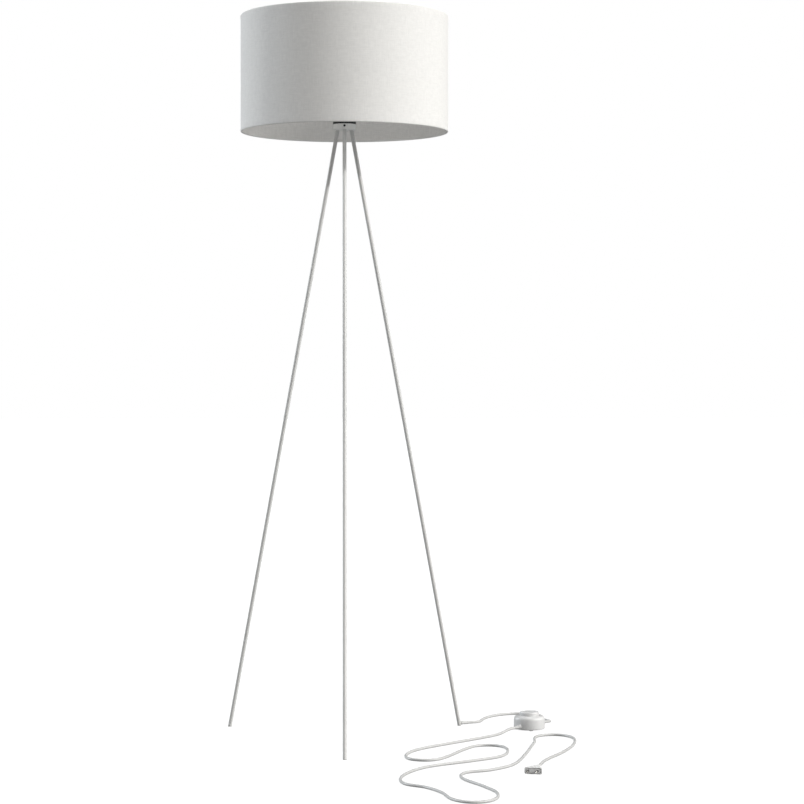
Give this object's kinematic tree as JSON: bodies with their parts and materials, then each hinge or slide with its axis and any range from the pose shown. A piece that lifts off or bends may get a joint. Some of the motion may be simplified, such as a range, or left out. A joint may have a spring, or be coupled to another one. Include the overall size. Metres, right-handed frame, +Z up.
{
  "type": "tripod floor lamp",
  "caption": "Floor lamp with slim splayed tube legs, a round hub, a straight fabric drum shade and a floor lead with foot switch and flat plug.",
  "frame": {"origin": "the point on the floor under the lamp's axis, in the middle of the circle that the feet stand on", "axes": "+Z up along the lamp's axis, the front leg towards -Y, the leg with the lead at 30 degrees from +X"},
  "size_m": [0.7581, 1.0905, 1.563],
  "materials": {
    "stand_paint": "white satin powder coat",
    "hub_paint": "white satin powder coat",
    "wire_paint": "white gloss coat",
    "glide": "moulded, matt",
    "black_steel": "black oxide",
    "zinc_steel": "bright zinc",
    "black_plastic": "moulded, satin",
    "lead_sheath": "smooth soft vinyl",
    "lead_bush": "soft, matt",
    "white_nylon": "moulded nylon",
    "live_insulation": "smooth vinyl",
    "neutral_insulation": "smooth vinyl",
    "steatite": "unglazed, matt",
    "brass": "stamped, bright",
    "shade_cloth": "plain fine weave",
    "shade_lining": "smooth film, matt",
    "shade_edge": "plain fine weave, turned in",
    "opal_globe": "opal",
    "white_plastic": "moulded",
    "switch_plastic": "moulded, semi-gloss",
    "nickel": "nickel plate",
    "black_glass": "fused glass",
    "pad_rubber": "matt",
    "plug_plastic": "soft moulded vinyl",
    "carrier_plastic": "moulded",
    "sleeve_plastic": "moulded"
  },
  "bodies": {
    "root": {"leg_front": "stand_paint", "leg_right": "stand_paint", "leg_left": "stand_paint", "glide_front": "glide", "glide_right": "glide", "glide_left": "glide", "leg_hub": "hub_paint", "grub_screws": "black_steel", "threaded_nipple": "zinc_steel", "nipple_nut": "zinc_steel", "wiring_cup": "black_plastic", "leg_lead": "lead_sheath", "lead_grommet": "lead_bush", "cable_tie": "white_nylon", "live_core": "live_insulation", "neutral_core": "neutral_insulation", "holder_base": "black_plastic", "holder_insert": "steatite", "terminal_blocks": "brass", "terminal_screws": "zinc_steel", "centre_contact": "brass", "screw_shell": "brass", "holder_skirt": "black_plastic", "lower_shade_ring": "black_plastic", "upper_shade_ring": "black_plastic", "fitter_ring": "wire_paint", "fitter_arms": "wire_paint", "top_wire": "wire_paint", "bottom_wire": "wire_paint", "shade_liner": "shade_lining", "shade_fabric": "shade_cloth", "top_binding": "shade_edge", "bottom_binding": "shade_edge", "cord_lamp": "lead_sheath", "cord_mains": "lead_sheath", "switch_base": "white_plastic", "switch_housing": "switch_plastic", "switch_spring": "zinc_steel", "switch_mechanism": "black_plastic", "switch_terminals": "brass", "switch_cores": "live_insulation", "switch_leads": "lead_sheath", "switch_bush_lamp": "lead_bush", "switch_bush_mains": "lead_bush", "cord_clamps": "white_nylon", "clamp_screws": "zinc_steel", "switch_screws": "zinc_steel", "switch_pads": "pad_rubber", "plug_body": "plug_plastic", "plug_relief": "plug_plastic", "plug_carrier": "carrier_plastic", "plug_pins": "nickel", "pin_sleeves": "sleeve_plastic"},
    "bulb": {"bulb_globe": "opal_globe", "bulb_neck": "white_plastic", "bulb_cap": "nickel", "bulb_contact": "black_glass"},
    "switch_press": {"switch_button": "switch_plastic", "switch_plunger": "black_plastic"}
  },
  "joints": [
    {"name": "switch_button_press", "type": "slide", "parent": "root", "child": "switch_press", "axis": [0, 0, 1], "range_m": [-0.004, 0], "stiffness_N_per_m": 600, "springref_m": 0.004, "deforming": ["switch_spring"]},
    {"name": "bulb_lift_out", "type": "slide", "parent": "root", "child": "bulb", "axis": [0, 0, 1], "range_m": [0, 0.06]}
  ]
}
